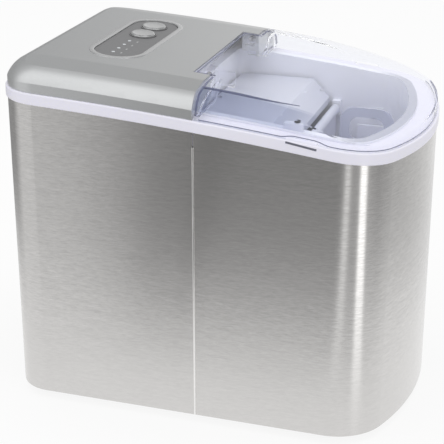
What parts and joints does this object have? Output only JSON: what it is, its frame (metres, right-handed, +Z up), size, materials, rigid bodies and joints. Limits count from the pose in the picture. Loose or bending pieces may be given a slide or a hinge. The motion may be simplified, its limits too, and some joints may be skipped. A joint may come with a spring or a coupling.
{
  "type": "countertop ice maker",
  "caption": "Countertop ice maker: brushed steel casing with a bowed front, silver rear cover with a button panel, and a clear hinged lid over the ice basket and its freezing works.",
  "frame": {"origin": "on the floor under the middle of the overall box", "axes": "+Z up, bowed front towards -Y, +X to the right seen from the front"},
  "size_m": [0.248, 0.359, 0.3171],
  "materials": {
    "brushed_casing": "brushed, horizontal grain",
    "silver_paint": "silver metallic paint",
    "clear_lid": "clear, faintly lilac",
    "white_plastic": "satin white",
    "panel_grey": "fine satin",
    "button_silver": "silver, dished",
    "lens_clear": "clear lens",
    "board_green": "circuit board",
    "rubber_black": "matt rubber",
    "zinc_steel": "zinc plated sheet",
    "screw_steel": "plated steel",
    "foam_white": "closed-cell foam",
    "black_paint": "satin black enamel",
    "copper": "drawn copper",
    "aluminium_fin": "rolled fin stock",
    "black_plastic": "moulded",
    "plated_evaporator": "nickel plated copper",
    "silicone": "milky hose"
  },
  "bodies": {
    "housing": {"base_pan": "zinc_steel", "rubber_feet": "rubber_black", "foot_screws": "screw_steel", "front_casing": "brushed_casing", "rear_casing": "brushed_casing", "rear_grille": "black_plastic", "side_grille": "black_plastic", "base_screws": "screw_steel", "top_frame": "white_plastic", "tub": "white_plastic", "foam_jacket": "foam_white", "drain_pipe": "white_plastic", "bulkhead": "zinc_steel", "rear_cover": "silver_paint", "control_fascia": "panel_grey", "indicator_lenses": "lens_clear", "control_board": "board_green", "partition": "white_plastic", "ice_sensors": "black_plastic", "evaporator": "plated_evaporator", "evaporator_hood": "white_plastic", "tray_bushes": "white_plastic", "tray_motor": "black_plastic", "shovel_brackets": "white_plastic", "water_pump": "black_plastic", "pump_strainer": "black_plastic", "water_hose": "silicone", "compressor": "black_paint", "compressor_plate": "black_paint", "compressor_grommets": "rubber_black", "compressor_bolts": "screw_steel", "compressor_relay": "black_plastic", "condenser_fins": "aluminium_fin", "condenser_coil": "copper", "fan_frame": "black_plastic", "fan_motor": "zinc_steel", "suction_line": "copper", "discharge_line": "copper", "liquid_line": "copper", "filter_drier": "copper", "capillary_line": "copper", "hot_gas_valve": "black_plastic", "power_board": "board_green", "cord_gland": "black_plastic"},
    "lid": {"lid": "clear_lid", "lid_hinge_pins": "screw_steel"},
    "power_button": {"power_button": "button_silver"},
    "select_button": {"select_button": "button_silver"},
    "basket": {"ice_basket": "white_plastic"},
    "scoop": {"ice_scoop": "white_plastic"},
    "tray": {"water_tray": "white_plastic"},
    "shovel": {"ice_shovel": "white_plastic", "shovel_axle": "screw_steel"},
    "fan": {"fan_rotor": "black_plastic"},
    "impeller": {"pump_impeller": "white_plastic"},
    "drain_cap": {"drain_cap": "black_plastic"}
  },
  "joints": [
    {"name": "lid_hinge", "type": "hinge", "parent": "housing", "child": "lid", "pos_m": [0, 0.0065, 0.30263], "axis": [-1, 0, 0], "range_deg": [0, 110]},
    {"name": "power_press", "type": "slide", "parent": "housing", "child": "power_button", "axis": [0, 0.0623, -0.9981], "range_m": [0, 0.0012], "stiffness_N_per_m": 400},
    {"name": "select_press", "type": "slide", "parent": "housing", "child": "select_button", "axis": [0, 0.0623, -0.9981], "range_m": [0, 0.0012], "stiffness_N_per_m": 400},
    {"name": "basket_lift", "type": "slide", "parent": "housing", "child": "basket", "axis": [0, 0, 1], "range_m": [0, 0.012]},
    {"name": "scoop_lift", "type": "slide", "parent": "basket", "child": "scoop", "axis": [0, 0, 1], "range_m": [0, 0.012]},
    {"name": "tray_tilt", "type": "hinge", "parent": "housing", "child": "tray", "pos_m": [0, -0.01, 0.21411], "axis": [1, 0, 0], "range_deg": [0, 65]},
    {"name": "shovel_swing", "type": "hinge", "parent": "housing", "child": "shovel", "pos_m": [0, -0.071, 0.23611], "axis": [-1, 0, 0], "range_deg": [0, 18]},
    {"name": "fan_spin", "type": "hinge", "parent": "housing", "child": "fan", "pos_m": [0.09, 0.10285, 0.086], "axis": [1, 0, 0], "continuous": true},
    {"name": "impeller_spin", "type": "hinge", "parent": "housing", "child": "impeller", "pos_m": [-0.076, 0.008, 0.0695], "axis": [0, 0, 1], "continuous": true},
    {"name": "drain_cap_turn", "type": "hinge", "parent": "housing", "child": "drain_cap", "pos_m": [0, -0.1, 0.005], "axis": [0, 0, -1], "range_deg": [0, 90]}
  ],
  "couplings": [
    {"joint": "shovel_swing", "follows": "tray_tilt", "ratio": 0.27}
  ]
}
